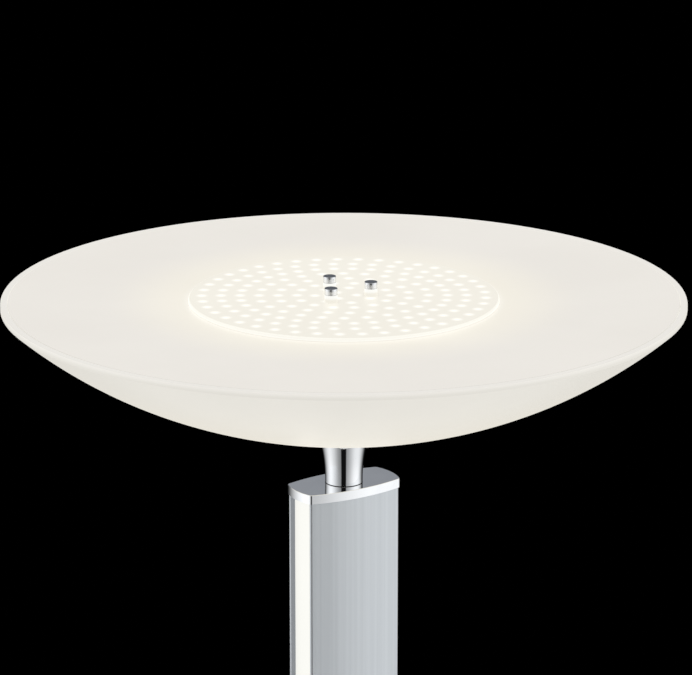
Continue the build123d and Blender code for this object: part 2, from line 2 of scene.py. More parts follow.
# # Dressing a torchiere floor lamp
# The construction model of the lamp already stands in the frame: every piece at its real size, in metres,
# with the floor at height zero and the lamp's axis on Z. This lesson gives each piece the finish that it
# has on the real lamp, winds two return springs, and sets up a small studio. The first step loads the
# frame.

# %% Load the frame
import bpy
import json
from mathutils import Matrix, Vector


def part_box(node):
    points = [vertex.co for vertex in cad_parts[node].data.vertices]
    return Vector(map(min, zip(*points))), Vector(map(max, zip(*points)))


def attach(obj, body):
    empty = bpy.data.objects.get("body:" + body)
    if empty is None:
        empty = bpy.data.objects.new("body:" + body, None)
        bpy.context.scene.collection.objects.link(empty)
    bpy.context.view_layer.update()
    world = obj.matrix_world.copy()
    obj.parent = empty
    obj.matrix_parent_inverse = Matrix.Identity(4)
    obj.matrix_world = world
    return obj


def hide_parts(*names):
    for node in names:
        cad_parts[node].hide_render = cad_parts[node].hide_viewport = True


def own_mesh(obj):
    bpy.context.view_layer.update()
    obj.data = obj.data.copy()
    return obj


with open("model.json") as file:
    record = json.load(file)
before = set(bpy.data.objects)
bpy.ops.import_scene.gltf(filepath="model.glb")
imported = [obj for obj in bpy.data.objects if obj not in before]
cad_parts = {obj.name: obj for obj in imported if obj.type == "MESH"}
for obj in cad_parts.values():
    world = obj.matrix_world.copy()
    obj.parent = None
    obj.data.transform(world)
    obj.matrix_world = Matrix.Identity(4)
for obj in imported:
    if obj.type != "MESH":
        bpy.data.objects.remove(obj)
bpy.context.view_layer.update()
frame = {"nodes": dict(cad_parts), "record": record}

# %% [markdown]
# ## Units and colours
# The frame counts in metres, but the sizes in a finish are easier to read in millimetres. Colours come in
# two kinds: nodes count light, while a screen follows the eye, which sees dark steps more finely than
# bright ones. A glow is easiest to judge as it looks on the screen, so one function turns screen colours
# into node colours.

# %% Units and colours
import json
from math import cos, pi, radians, sin

import bmesh
import bpy
from mathutils import Vector

millimetre = 0.001


def screen_colour(red, green, blue):
    """Turns a colour as seen on a screen, 0 to 255, into the linear colour that nodes use."""
    def linear(level):
        share = level / 255
        return share / 12.92 if share <= 0.04045 else ((share + 0.055) / 1.055) ** 2.4
    return (linear(red), linear(green), linear(blue), 1.0)


print("middle grey on the screen is", round(screen_colour(128, 128, 128)[0], 3), "in nodes")

# %% [markdown]
# ## Node helpers
# Finishes are made of shader nodes. Placing nodes by hand is fine in the node editor, but in a script a few
# short helpers keep the recipes readable. The first fills a socket. The others calculate with numbers and
# with vectors, and return the sockets that the next node needs.

# %% Filling sockets and calculating


def put(tree, target, value):
    """Links value into the socket target, or types it in where value is a plain number or colour."""
    if isinstance(value, bpy.types.NodeSocket):
        tree.links.new(value, target)
    else:
        target.default_value = value


def calc(tree, operation, first, second=0.0):
    """One calculation with one or two numbers."""
    node = tree.nodes.new("ShaderNodeMath")
    node.operation = operation
    put(tree, node.inputs[0], first)
    put(tree, node.inputs[1], second)
    return node.outputs[0]


def vector_calc(tree, operation, first, second=(0.0, 0.0, 0.0)):
    """One calculation with vectors. The result is the output Vector, or Value where it is a number."""
    node = tree.nodes.new("ShaderNodeVectorMath")
    node.operation = operation
    put(tree, node.inputs[0], first)
    put(tree, node.inputs[1], second)
    return node.outputs


def join(tree, x, y, z):
    """A vector from three numbers."""
    node = tree.nodes.new("ShaderNodeCombineXYZ")
    for socket, value in zip(node.inputs, (x, y, z)):
        put(tree, socket, value)
    return node.outputs[0]


def split(tree, vector):
    """The three numbers of a vector, as the outputs X, Y and Z."""
    node = tree.nodes.new("ShaderNodeSeparateXYZ")
    put(tree, node.inputs[0], vector)
    return node.outputs


def distance(tree, first, second):
    """How far a point is from the middle, from its two coordinates."""
    squares = [calc(tree, "MULTIPLY", side, side) for side in (first, second)]
    return calc(tree, "SQRT", calc(tree, "ADD", *squares))


print("helpers for sockets and calculations are ready")

# %% [markdown]
# Masks, colours, noise and normals need one more helper each. A soft step is the workhorse of this lesson: it
# turns any value into a mask with soft ends. Noise rarely leaves the range from 0.3 to 0.7, so a second step
# stretches it from there.

# %% Steps, colours, noise and normals
noise_low = 0.3
noise_high = 0.7


def soft_step(tree, value, start, end, low=0.0, high=1.0):
    """Goes from low to high while value goes from start to end, with soft ends."""
    node = tree.nodes.new("ShaderNodeMapRange")
    node.interpolation_type = "SMOOTHSTEP"
    for name, number in (("From Min", start), ("From Max", end), ("To Min", low), ("To Max", high)):
        put(tree, node.inputs[name], number)
    put(tree, node.inputs["Value"], value)
    return node.outputs["Result"]


def stretch(tree, value, low=0.0, high=1.0):
    """Stretches a noise so that it goes from low to high."""
    return soft_step(tree, value, noise_low, noise_high, low, high)


def mix_colours(tree, share, first, second):
    """The first colour where share is 0, and the second where it is 1."""
    node = tree.nodes.new("ShaderNodeMix")
    node.data_type = "RGBA"
    sockets = {socket.identifier: socket for socket in node.inputs}
    put(tree, sockets["Factor_Float"], share)
    put(tree, sockets["A_Color"], first)
    put(tree, sockets["B_Color"], second)
    return node.outputs[2]


def noise(tree, vector, scale, detail=2.0):
    """Soft noise with about scale spots to the metre."""
    node = tree.nodes.new("ShaderNodeTexNoise")
    put(tree, node.inputs["Vector"], vector)
    put(tree, node.inputs["Scale"], scale)
    put(tree, node.inputs["Detail"], detail)
    return node.outputs[0]


def surface_normal(tree):
    """The direction that the surface faces, as a vector."""
    return tree.nodes.new("ShaderNodeNewGeometry").outputs["Normal"]


print("helpers for steps, colours, noise and normals are ready")

# %% [markdown]
# ## Where a point is on the lamp
# The lamp is mostly turned work, so its finishes follow the radius, the angle about the axis and the
# height. Object coordinates give these without any unwrapping, because every piece has its origin at the
# lamp's origin.

# %% Place on the lamp


class LampPlace:
    """Sockets for a point's position, its x, y and height, and its radius and angle about the axis."""

    def __init__(self, tree):
        self.point = tree.nodes.new("ShaderNodeTexCoord").outputs["Object"]
        self.x, self.y, self.height = split(tree, self.point)
        self.radius = distance(tree, self.x, self.y)
        self.angle = calc(tree, "ARCTAN2", self.y, self.x)


rim_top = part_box("glass_bowl")[1].z
dish_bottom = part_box("glass_bowl")[0].z
dish_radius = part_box("glass_bowl")[1].x
print("rim at", round(rim_top, 4), "m, dish radius", round(dish_radius, 4), "m")

# %% [markdown]
# ## Shared effects
# Some effects come back on several finishes: the cloudiness of opal sheets, finger marks on polish,
# brushing, worn edges, dust and moulded grain. Each is a node group with named inputs, built once, so
# that a finish only has to set its own values. A group hands out masks and values that change over the
# surface. The shader itself stays in the material.

# %% Group helpers


def start_group(name, inputs, outputs):
    """An empty node group. Inputs are names with their defaults, outputs are names of plain values."""
    group = bpy.data.node_groups.new(name, "ShaderNodeTree")
    for label, default in inputs.items():
        socket = group.interface.new_socket(label, in_out="INPUT", socket_type="NodeSocketFloat")
        socket.default_value = default
    for label in outputs:
        group.interface.new_socket(label, in_out="OUTPUT", socket_type="NodeSocketFloat")
    given = group.nodes.new("NodeGroupInput").outputs
    wanted = group.nodes.new("NodeGroupOutput").inputs
    return group, given, wanted


def use_group(tree, group, **values):
    """Places a group in a material. Underscores in the names stand for spaces."""
    node = tree.nodes.new("ShaderNodeGroup")
    node.node_tree = group
    for label, value in values.items():
        put(tree, node.inputs[label.replace("_", " ")], value)
    return node.outputs


print("group helpers are ready")

# %% [markdown]
# **Opal haze.** Opal glass and opal acrylic scatter light inside, so they look even, with slow clouds and
# a very fine tooth from the satin finish. Two sizes of noise give that: one for the clouds, one for the
# tooth.

# %% Opal haze
opal_haze, given, wanted = start_group(
    "opal_haze",
    {"Cloud Scale": 9.0, "Tooth Scale": 900.0},
    ["Cloud", "Tooth", "Roughness"],
)
point = LampPlace(opal_haze).point
cloud = noise(opal_haze, point, given["Cloud Scale"], detail=3.0)
tooth = noise(opal_haze, point, given["Tooth Scale"], detail=1.0)
put(opal_haze, wanted["Cloud"], stretch(opal_haze, cloud))
put(opal_haze, wanted["Tooth"], tooth)
put(opal_haze, wanted["Roughness"], soft_step(opal_haze, cloud, 0.25, 0.75, low=0.34, high=0.46))
print(opal_haze.name, "has", len(opal_haze.nodes), "nodes")

# %% [markdown]
# **Finger marks.** Polish never stays clean. A cloud of low contrast makes some patches a little duller,
# and a few fine wipe lines run through them. The group puts out one value for how dull the spot is, and
# one for the wipe lines.

# %% Finger marks
finger_marks, given, wanted = start_group(
    "finger_marks",
    {"Patch Scale": 45.0, "Wipe Scale": 600.0, "Amount": 0.5},
    ["Dullness", "Wipe"],
)
point = LampPlace(finger_marks).point
patch_noise = noise(finger_marks, point, given["Patch Scale"], detail=4.0)
patch = soft_step(finger_marks, patch_noise, 0.45, 0.75)
wipe = soft_step(finger_marks, noise(finger_marks, point, given["Wipe Scale"]), 0.55, 0.8)
dullness = calc(finger_marks, "MULTIPLY", patch, given["Amount"])
put(finger_marks, wanted["Dullness"], dullness)
put(finger_marks, wanted["Wipe"], calc(finger_marks, "MULTIPLY", wipe, dullness))
print(finger_marks.name, "has", len(finger_marks.nodes), "nodes")

# %% [markdown]
# **Brush lines.** A brushed surface is a field of fine scratches that all run one way. Noise that is
# squeezed across the lines and stretched along them gives the field, once for single lines and once for
# broader bands. The group takes the directions as inputs, so the same effect brushes the column
# lengthwise and turned pieces in circles.

# %% Brush lines
bands_per_line = 0.12
band_breaks_per_break = 0.25

brush_lines, given, wanted = start_group(
    "brush_lines",
    {"Across": 0.0, "Depth": 0.0, "Along": 0.0, "Lines": 2500.0, "Breaks": 12.0},
    ["Line", "Band"],
)


def brush_space(directions, lines, breaks):
    """Coordinates with so many lines to the metre, each broken so many times to the metre."""
    across = calc(brush_lines, "MULTIPLY", directions["Across"], lines)
    depth = calc(brush_lines, "MULTIPLY", directions["Depth"], lines)
    along = calc(brush_lines, "MULTIPLY", directions["Along"], breaks)
    return join(brush_lines, across, depth, along)


line_space = brush_space(given, given["Lines"], given["Breaks"])
bands = calc(brush_lines, "MULTIPLY", given["Lines"], bands_per_line)
band_breaks = calc(brush_lines, "MULTIPLY", given["Breaks"], band_breaks_per_break)
band_space = brush_space(given, bands, band_breaks)
put(brush_lines, wanted["Line"], noise(brush_lines, line_space, scale=1.0, detail=3.0))
put(brush_lines, wanted["Band"], noise(brush_lines, band_space, scale=1.0))
print(brush_lines.name, "has", len(brush_lines.nodes), "nodes")

# %% [markdown]
# **Worn edges.** Edges are handled most, so the finish is thinnest there and catches more light. The
# Bevel node gives the normal that a rounded edge would have. Where it leaves the true normal, there is an
# edge.

# %% Worn edges
worn_edges, given, wanted = start_group("worn_edges", {"Width": 0.6 * millimetre, "Wear": 0.7}, ["Edge"])
bevel = worn_edges.nodes.new("ShaderNodeBevel")
put(worn_edges, bevel.inputs["Radius"], given["Width"])
true_normal = surface_normal(worn_edges)
likeness = vector_calc(worn_edges, "DOT_PRODUCT", bevel.outputs["Normal"], true_normal)["Value"]
edge = soft_step(worn_edges, likeness, 0.995, 0.9)
patch_noise = noise(worn_edges, LampPlace(worn_edges).point, scale=160.0)
patches = soft_step(worn_edges, patch_noise, 0.3, 0.6, low=0.4)
rubbed = calc(worn_edges, "MULTIPLY", edge, patches)
put(worn_edges, wanted["Edge"], calc(worn_edges, "MULTIPLY", rubbed, given["Wear"]))
print(worn_edges.name, "has", len(worn_edges.nodes), "nodes")

# %% [markdown]
# **Settled dust.** Dust lies on what faces up. The upward part of the normal makes the mask, and noise
# breaks it into specks that drift together in some places.

# %% Settled dust
settled_dust, given, wanted = start_group("settled_dust", {"Amount": 0.2, "Speck Scale": 700.0}, ["Dust"])
point = LampPlace(settled_dust).point
facing = split(settled_dust, surface_normal(settled_dust))
lying = soft_step(settled_dust, facing["Z"], 0.5, 0.95)
speck_noise = noise(settled_dust, point, given["Speck Scale"], detail=3.0)
specks = soft_step(settled_dust, speck_noise, 0.45, 0.75)
drift = stretch(settled_dust, noise(settled_dust, point, scale=14.0), low=0.4)
resting = calc(settled_dust, "MULTIPLY", lying, calc(settled_dust, "MULTIPLY", specks, drift))
put(settled_dust, wanted["Dust"], calc(settled_dust, "MULTIPLY", resting, given["Amount"]))
print(settled_dust.name, "has", len(settled_dust.nodes), "nodes")

# %% [markdown]
# **Moulded grain.** Rubber, plastic, lacquered boards and wire sheaths have a fine grain from the mould
# or the press. One noise is the grain, a slower one shifts its tone.

# %% Moulded grain
moulded_grain, given, wanted = start_group("moulded_grain", {"Grain Scale": 1500.0}, ["Grain", "Tone"])
point = LampPlace(moulded_grain).point
put(moulded_grain, wanted["Grain"], noise(moulded_grain, point, given["Grain Scale"]))
put(moulded_grain, wanted["Tone"], noise(moulded_grain, point, scale=60.0, detail=3.0))
print(moulded_grain.name, "has", len(moulded_grain.nodes), "nodes")

# %% [markdown]
# ## Starting a material
# Every finish starts from the Principled shader. What is the same all over the surface is typed into the
# shader's own sockets. What changes over the surface is linked.

# %% Material helpers


class Finish:
    """A new material with its node tree, its Principled shader and the place of a point on the lamp."""

    def __init__(self, name, **constants):
        self.material = bpy.data.materials.new(name)
        self.material.use_nodes = True
        self.tree = self.material.node_tree
        self.shader = self.tree.nodes["Principled BSDF"]
        self.place = LampPlace(self.tree)
        for label, value in constants.items():
            self.link(label, value)

    def link(self, label, value):
        """Fills a socket of the shader. Underscores in its name stand for spaces."""
        put(self.tree, self.shader.inputs[label.replace("_", " ")], value)

    def bump(self, height, relief):
        """Raises the surface by a fine height, up to relief in metres."""
        node = self.tree.nodes.new("ShaderNodeBump")
        put(self.tree, node.inputs["Distance"], relief)
        put(self.tree, node.inputs["Height"], height)
        self.link("Normal", node.outputs["Normal"])


def dress(finish, *names):
    """Gives the finish to the named nodes, in place of what they had."""
    for name in names:
        slots = frame["nodes"][name].data.materials
        slots.clear()
        slots.append(finish.material)
    print(finish.material.name, "on", ", ".join(names))


print("material helpers are ready")

# %% [markdown]
# ## Opal pieces
# The dish, the ring on it, the LED cover, the washers and the light strips are all opal. All but the washers
# are lit from inside; the glow of the washers is painted light. Real scattering could be rendered with
# subsurface light, but that needs many samples and tells little, because the eye only sees an even glow. So
# each of them is a pale body that still takes the room's light, with a glow on top. The body is the same for
# all, and one function makes it.

# %% Opal body
opal_body = (0.152, 0.148, 0.141, 1.0)
opal_body_cloud = (0.141, 0.137, 0.131, 1.0)


def start_opal(name):
    """An opal finish whose glow is still to be linked."""
    finish = Finish(name, Emission_Strength=1.0, Specular_IOR_Level=0.25)
    haze = use_group(finish.tree, opal_haze)
    finish.link("Base Color", mix_colours(finish.tree, haze["Cloud"], opal_body, opal_body_cloud))
    finish.link("Roughness", haze["Roughness"])
    finish.bump(haze["Tooth"], 0.02 * millimetre)
    return finish


print("opal body of", opal_body[:3])

# %% [markdown]
# ## Opal glass dish
# The glow of the dish falls off from its floor towards the rim. The upright edge has a stronger glow of
# its own, because the thick glass leads light into it. The flat lip has less, since it also takes the
# light from overhead. Each is a soft step of the height.

# %% Opal glass
glow_at_bottom = screen_colour(223, 218, 205)
glow_at_rim = screen_colour(214, 211, 203)
glow_on_edge = screen_colour(222, 219, 212)
glow_on_lip = screen_colour(203, 200, 194)

opal_glass = start_opal("opal_glass")
tree, place = opal_glass.tree, opal_glass.place
up_the_side = soft_step(tree, place.height, dish_bottom, rim_top - 4 * millimetre)
glow = mix_colours(tree, up_the_side, glow_at_bottom, glow_at_rim)
on_edge = soft_step(tree, place.height, rim_top - 3 * millimetre, rim_top - 1 * millimetre)
glow = mix_colours(tree, on_edge, glow, glow_on_edge)
on_lip = soft_step(tree, place.height, rim_top - 0.5 * millimetre, rim_top - 0.05 * millimetre)
dish_glow = mix_colours(tree, on_lip, glow, glow_on_lip)
print(opal_glass.material.name, "glows from", round(dish_bottom, 4), "to", round(rim_top, 4), "m")

# %% [markdown]
# The ring lies in a step inside the lip. Little light gets into the narrow joint between them, so the
# wall of the step is given a dimmer glow there: painted shade. Its mask is a thin band of the radius,
# from the floor of the step to just below the lip.

# %% Painted shade in the joint inside the lip
# Painted shade: a dimmer glow on the walls of the narrow joint.
painted_shade_in_joint = screen_colour(202, 199, 192)

lip_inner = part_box("top_diffuser")[1].x
near_joint = soft_step(tree, place.radius, lip_inner + 1.6 * millimetre, lip_inner + 0.6 * millimetre)
below_lip = soft_step(tree, place.height, rim_top - 0.2 * millimetre, rim_top - 0.9 * millimetre)
above_floor = soft_step(tree, place.height, rim_top - 7 * millimetre, rim_top - 6 * millimetre)
dish_joint_shade_mask = calc(tree, "MULTIPLY", near_joint, calc(tree, "MULTIPLY", below_lip, above_floor))
opal_glass.link("Emission Color", mix_colours(tree, dish_joint_shade_mask, dish_glow, painted_shade_in_joint))
dress(opal_glass, "glass_bowl")

# %% [markdown]
# ## Opal ring
# The ring closes the dish. It glows evenly, but light leaks out under the LED cover, so a bright line
# lies along the cover's edge, in a wide glow that fades outwards. Two soft steps of the radius give the
# glow and the line. At the joint with the lip the ring gets the same painted shade as the wall across from
# it.

# %% Opal ring
ring_glow = screen_colour(203, 199, 192)
ring_glow_near = screen_colour(213, 208, 195)
ring_leak = screen_colour(216, 212, 201)
glow_reach = 60 * millimetre
leak_reach = 6 * millimetre
leak_falloff = 1.5

cover_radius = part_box("cover_disc")[1].x
opal_ring = start_opal("opal_ring")
tree, place = opal_ring.tree, opal_ring.place
spread = soft_step(tree, place.radius, cover_radius + glow_reach, cover_radius)
glow = mix_colours(tree, spread, ring_glow, ring_glow_near)
leak = soft_step(tree, place.radius, cover_radius + leak_reach, cover_radius)
leak = calc(tree, "POWER", leak, leak_falloff)
glow = mix_colours(tree, leak, glow, ring_leak)
# Painted shade: the ring's edge at the joint takes the same dimmer glow.
ring_joint_shade_mask = soft_step(tree, place.radius, lip_inner - 0.25 * millimetre, lip_inner - 0.02 * millimetre)
opal_ring.link("Emission Color", mix_colours(tree, ring_joint_shade_mask, glow, painted_shade_in_joint))
dress(opal_ring, "top_diffuser")

# %% [markdown]
# ## LED cover
# Behind the cover sit rings of LEDs, and each shows as a soft bright dot. Painting 180 dots by hand would
# be slow and would not follow a change. Instead the script reads where the LEDs are in the frame, sorts
# them into rings, and lets the shader repeat one dot around each ring. This cell finds the LEDs: they are
# one mesh of many separate solids, and each solid is reached by walking along its edges.

# %% Find the LEDs
same_point = 0.001 * millimetre


def solid_centres(mesh):
    """Middle of each separate solid in a mesh, in plan."""
    solids = bmesh.new()
    solids.from_mesh(mesh)
    bmesh.ops.remove_doubles(solids, verts=solids.verts, dist=same_point)
    waiting = set(solids.verts)
    centres = []
    while waiting:
        reached = [waiting.pop()]
        for vertex in reached:
            for edge in vertex.link_edges:
                other = edge.other_vert(vertex)
                if other in waiting:
                    waiting.remove(other)
                    reached.append(other)
        xs = [vertex.co.x for vertex in reached]
        ys = [vertex.co.y for vertex in reached]
        centres.append(Vector(((min(xs) + max(xs)) / 2, (min(ys) + max(ys)) / 2)))
    solids.free()
    return centres


led_centres = solid_centres(frame["nodes"]["led_chips"].data)
print(len(led_centres), "LEDs found")

# %% [markdown]
# Sorted by their distance from the axis, the LEDs of one ring follow each other, and a jump in the distance
# starts the next ring.

# %% Sort the LEDs into rings
ring_jump = 2 * millimetre

led_rings = []
for centre in sorted(led_centres, key=lambda centre: centre.length):
    if not led_rings or centre.length - led_rings[-1][0].length > ring_jump:
        led_rings.append([])
    led_rings[-1].append(centre)
print("LEDs in rings of", [len(members) for members in led_rings])

# %% [markdown]
# The dots are one node group. For each ring, the angle is cut into as many sectors as the ring has LEDs,
# and the distance to the middle of the sector makes the dot. The brightest of all rings is the result.

# %% LED dots
led_dots, given, wanted = start_group("led_dots", {"Core": 0.0, "Reach": 5.1 * millimetre}, ["Dot"])
place = LampPlace(led_dots)
brightest = 0.0
for members in led_rings:
    ring_radius = sum(centre.length for centre in members) / len(members)
    sector = 2 * pi / len(members)
    first_angle = members[0].angle_signed(Vector((1, 0)))
    turned = calc(led_dots, "DIVIDE", calc(led_dots, "SUBTRACT", place.angle, first_angle), sector)
    off_middle = calc(led_dots, "SUBTRACT", turned, calc(led_dots, "ROUND", turned))
    along = calc(led_dots, "MULTIPLY", off_middle, sector * ring_radius)
    across = calc(led_dots, "SUBTRACT", place.radius, ring_radius)
    off_led = distance(led_dots, along, across)
    dot = soft_step(led_dots, off_led, given["Reach"], given["Core"])
    brightest = calc(led_dots, "MAXIMUM", dot, brightest)
put(led_dots, wanted["Dot"], brightest)
print(led_dots.name, "has", len(led_dots.nodes), "nodes")

# %% [markdown]
# The cover's ground is a warm white, and its dots are almost white. Its rounded edge is brighter than its
# face, most of all at the foot, because light that is caught in the sheet comes out there. The cover's
# face is level with the rim, so the edge is what lies below it.

# %% LED cover
cover_ground = screen_colour(213, 209, 197)
cover_dot = screen_colour(238, 237, 230)
cover_edge = screen_colour(232, 230, 220)
cover_foot = screen_colour(241, 239, 231)

led_cover = start_opal("led_cover")
tree, place = led_cover.tree, led_cover.place
dots = use_group(tree, led_dots)["Dot"]
face_glow = mix_colours(tree, dots, cover_ground, cover_dot)
down_the_edge = soft_step(tree, place.height, rim_top - 0.9 * millimetre, rim_top - 2.2 * millimetre)
edge_glow = mix_colours(tree, down_the_edge, cover_edge, cover_foot)
on_edge = soft_step(tree, place.height, rim_top - 0.05 * millimetre, rim_top - 0.6 * millimetre)
led_cover.link("Emission Color", mix_colours(tree, on_edge, face_glow, edge_glow))
dress(led_cover, "cover_disc")

# %% [markdown]
# ## Washers under the nuts
# The white washers stand on the glowing cover. Their glow is painted light: at their foot it takes the
# cover's colour, and at the top it turns white under the bright metal. The distance rings below the cover are
# the same plastic, with the same painted glow.

# %% Nylon washers with painted glow
washer_foot_painted_glow = screen_colour(226, 222, 210)
washer_top_painted_glow = screen_colour(238, 238, 233)

nylon_washer_painted_glow = start_opal("nylon_washer_painted_glow")
tree, place = nylon_washer_painted_glow.tree, nylon_washer_painted_glow.place
washer_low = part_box("nut_washers")[0].z
# Painted light: the washers glow, from the cover's colour at the foot to white at the top.
rising = soft_step(tree, place.height, washer_low + 1.5 * millimetre, washer_low + 3.5 * millimetre)
nylon_washer_painted_glow.link("Emission Color", mix_colours(tree, rising, washer_foot_painted_glow, washer_top_painted_glow))
dress(nylon_washer_painted_glow, "nut_washers", "disc_spacers")

# %% [markdown]
# ## Light strips
# The covers of the column's light strips are among the brightest things on the lamp. They are opal too, and
# a little dimmer and warmer right at their edges, where the light has a longer way through the sheet.

# %% Light strips
strip_middle = screen_colour(238, 238, 232)
strip_side = screen_colour(217, 214, 204)
plain_share = 0.9

opal_strip = start_opal("opal_strip")
tree, place = opal_strip.tree, opal_strip.place
strip_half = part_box("strip_cover_left")[1].y
off_centre = calc(tree, "ABSOLUTE", place.y)
to_side = soft_step(tree, off_centre, strip_half * plain_share, strip_half)
opal_strip.link("Emission Color", mix_colours(tree, to_side, strip_middle, strip_side))
dress(opal_strip, "strip_cover_left", "strip_cover_right")

# %% [markdown]
# ## Chrome
# Chrome shows the room rather than a colour of its own. A full mirror would look like a drawing, so the
# base colour is a little cool, and finger marks lift the roughness here and there. At the broken edge at
# the foot of the stem, a fine dark line around it is painted shadow where the stem meets the cap.

# %% Chrome
chrome_clean = (0.90, 0.91, 0.92, 1.0)
chrome_marked = (0.80, 0.81, 0.83, 1.0)
chrome_painted_shadow = (0.10, 0.10, 0.11, 1.0)
broken_edge = 0.35 * millimetre


def make_chrome(name, polish, marked, amount, foot):
    """A metal of roughness polish where it is clean and marked where it isn't, with painted shadow below
    foot.
    """
    finish = Finish(name, Metallic=1.0)
    tree, place = finish.tree, finish.place
    marks = use_group(tree, finger_marks, Amount=amount)
    colour = mix_colours(tree, marks["Dullness"], chrome_clean, chrome_marked)
    # Painted shadow: dark below foot, at the foot of the stem and under the collar.
    below = soft_step(tree, place.height, foot + 0.1 * millimetre, foot)
    finish.link("Base Color", mix_colours(tree, below, colour, chrome_painted_shadow))
    finish.link("Roughness", soft_step(tree, marks["Dullness"], 0.0, 1.0, polish, marked))
    finish.bump(marks["Wipe"], 0.003 * millimetre)
    return finish


stem_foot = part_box("stem")[0].z
chrome = make_chrome("chrome", polish=0.03, marked=0.12, amount=0.4, foot=stem_foot + broken_edge)
dress(chrome, "stem")

# %% [markdown]
# The cap and the foot collar are polished too, but on flat faces the polishing wheel leaves a slight
# haze. The underside of the collar gets the same dark painted shade.

# %% Polished plates
collar_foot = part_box("foot_collar")[0].z
polished_plate = make_chrome("polished_plate", polish=0.05, marked=0.14, amount=0.5, foot=collar_foot)
dress(polished_plate, "column_cap", "foot_collar")

# %% [markdown]
# ## Nuts
# The three nuts were parted off on a lathe, and their sides are polished. Their tops are darker: painted
# shade. So is their foot, as painted shade where the nut stands on its washer. The upward part of the
# normal tells the tops from the sides.

# %% Nut tops and sides
nut_side = (0.86, 0.87, 0.88, 1.0)
nut_top_painted_shade = (0.27, 0.28, 0.30, 1.0)
nut_foot_painted_shade = (0.50, 0.51, 0.53, 1.0)
nut_polish = 0.24
nut_marked = 0.32

polished_nut = Finish("polished_nut", Metallic=1.0)
tree, place = polished_nut.tree, polished_nut.place
nut_low, nut_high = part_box("top_nuts")
# Painted shade: darker towards the foot of each nut.
nut_foot_shade_mask = soft_step(tree, place.height, nut_low.z + 0.6 * millimetre, nut_low.z)
colour = mix_colours(tree, nut_foot_shade_mask, nut_side, nut_foot_painted_shade)
normal = surface_normal(tree)
# Painted shade: the tops and their rounded edge are darker.
nut_top_shade_mask = soft_step(tree, split(tree, normal)["Z"], 0.6, 0.95)
polished_nut.link("Base Color", mix_colours(tree, nut_top_shade_mask, colour, nut_top_painted_shade))
marks = use_group(tree, finger_marks)
polished_nut.link("Roughness", soft_step(tree, marks["Dullness"], 0.0, 1.0, nut_polish, nut_marked))
dress(polished_nut, "top_nuts")

# %% [markdown]
# The sides are also a little crowned, most of all near the top. That is too slight to model, so the
# normal is leaned upwards instead. Without the lean, the sides would mirror nothing but the glowing cover
# under them and vanish against it.

# %% Crown of the nuts
crown_lean = 0.30
lean_at_foot = 0.40

nut_middle = (nut_low.z + nut_high.z) / 2
up_the_nut = soft_step(tree, place.height, nut_middle, nut_high.z, low=lean_at_foot)
lean = join(tree, 0.0, 0.0, calc(tree, "MULTIPLY", up_the_nut, crown_lean))
leaned = vector_calc(tree, "ADD", normal, lean)["Vector"]
polished_nut.link("Normal", vector_calc(tree, "NORMALIZE", leaned)["Vector"])
print("sides of the nuts lean by", crown_lean * lean_at_foot, "to", crown_lean)

# %% [markdown]
# ## Brushed aluminium column
# The column is an extrusion that was brushed lengthwise and then anodised. The brush lines change the
# colour and the roughness a little and raise the surface by a few thousandths of a millimetre. The edges
# are worn brighter.

# %% Brushed column
brushed_light = (0.75, 0.78, 0.805, 1.0)
brushed_dark = (0.68, 0.71, 0.735, 1.0)
brushed_edge = (0.80, 0.81, 0.82, 1.0)
line_share = 0.4

brushed_column = Finish("brushed_column", Metallic=1.0)
tree, place = brushed_column.tree, brushed_column.place
brushing = use_group(
    tree, brush_lines, Across=place.x, Depth=place.y, Along=place.height, Lines=3600.0, Breaks=9.0
)
fine_part = calc(tree, "MULTIPLY", brushing["Line"], line_share)
broad_part = calc(tree, "MULTIPLY", brushing["Band"], 1 - line_share)
shade = soft_step(tree, calc(tree, "ADD", fine_part, broad_part), 0.25, 0.75)
brushed_colour = mix_colours(tree, shade, brushed_dark, brushed_light)
wear = use_group(tree, worn_edges)["Edge"]
brushed_colour = mix_colours(tree, wear, brushed_colour, brushed_edge)
brushed_column.link("Roughness", stretch(tree, brushing["Line"], low=0.54, high=0.62))
brushed_column.bump(brushing["Line"], 0.004 * millimetre)
print(brushed_column.material.name, "is brushed lengthwise")

# %% [markdown]
# The rounded corners and the walls of the light channels are painted darker, as painted shade. At the
# corners the normal turns from the front to the end, so its sideways part lies between the two. The
# walls of the light channels face the lamp's middle plane, so their normal points against the side
# that they are on.

# %% Painted shade on corners and channel walls
corner_painted_shade = (0.40, 0.41, 0.43, 1.0)
channel_wall_painted_shade = (0.345, 0.365, 0.405, 1.0)

facing = split(tree, surface_normal(tree))
sideways = calc(tree, "ABSOLUTE", facing["X"])
# Painted shade on the rounded corners.
past_front = soft_step(tree, sideways, 0.32, 0.45)
before_end = soft_step(tree, sideways, 0.999, 0.97)
corner_shade_mask = calc(tree, "MULTIPLY", past_front, before_end)
colour = mix_colours(tree, corner_shade_mask, brushed_colour, corner_painted_shade)
# Painted shade on the walls of the light channels.
outward = calc(tree, "MULTIPLY", facing["Y"], calc(tree, "SIGN", place.y))
wall_shade_mask = soft_step(tree, outward, -0.2, -0.7)
brushed_column.link("Base Color", mix_colours(tree, wall_shade_mask, colour, channel_wall_painted_shade))
dress(brushed_column, "column_profile")

# %% [markdown]
# ## Base cover
# The base is spun on a lathe, so its brush lines are circles. The radius runs across the lines, and the
# cosine of the angle runs along them, because the angle itself would leave a seam where it jumps. The
# base is near the floor, so it carries some dust.

# %% Spun base
base_light = (0.62, 0.64, 0.66, 1.0)
base_dark = (0.48, 0.50, 0.52, 1.0)
dust_colour = (0.42, 0.40, 0.37, 1.0)

